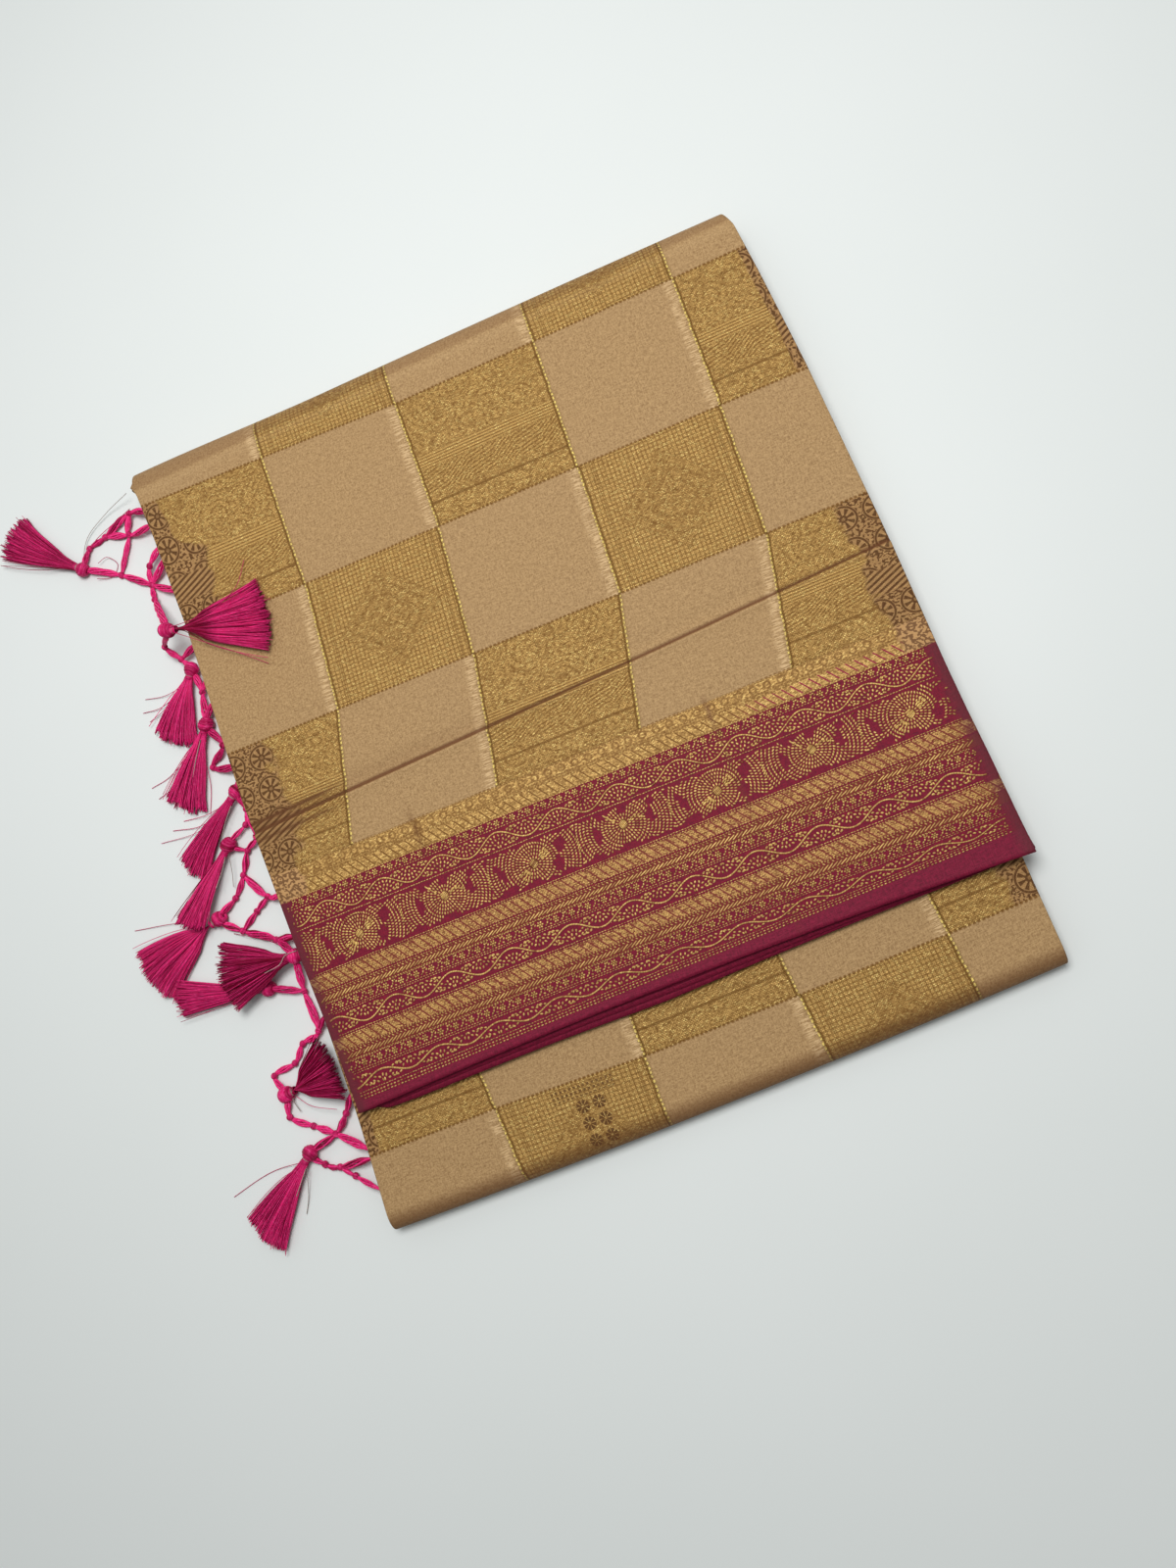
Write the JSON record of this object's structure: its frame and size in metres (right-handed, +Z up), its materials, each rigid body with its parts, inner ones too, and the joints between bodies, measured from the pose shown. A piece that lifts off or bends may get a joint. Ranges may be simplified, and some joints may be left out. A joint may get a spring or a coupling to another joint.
{
  "type": "folded saree",
  "caption": "Checked silk saree folded flat, with a woven border along its free edge and a knotted, tasselled fringe spread out on its left.",
  "frame": {"origin": "centre of the bounding box of cloth and fringe, at the level of the surface that the saree lies on", "axes": "+Z up from the surface; +X to the right along the folds, away from the fringe; +Y away from the free border edge, towards the upper fold"},
  "size_m": [0.4714, 0.4484, 0.0285],
  "materials": {
    "tan_silk": "tan silk with gold brocade checks, soft sheen, fine plain weave",
    "magenta_silk": "deep magenta silk with gold woven bands, soft sheen",
    "fringe_silk": "hot pink rayon-silk threads, knotted, glossy"
  },
  "bodies": {
    "root": {"flap_wall": "tan_silk", "lower_wall": "tan_silk", "hidden_layers": "magenta_silk", "end_piece": "magenta_silk", "fringe_net": "fringe_silk", "tassel_a": "fringe_silk", "tassel_b": "fringe_silk", "tassel_c": "fringe_silk", "tassel_d": "fringe_silk", "tassel_e": "fringe_silk", "tassel_f": "fringe_silk", "tassel_g": "fringe_silk", "tassel_h": "fringe_silk", "tassel_i": "fringe_silk", "tassel_j": "fringe_silk", "tassel_k": "fringe_silk"}
  },
  "joints": []
}
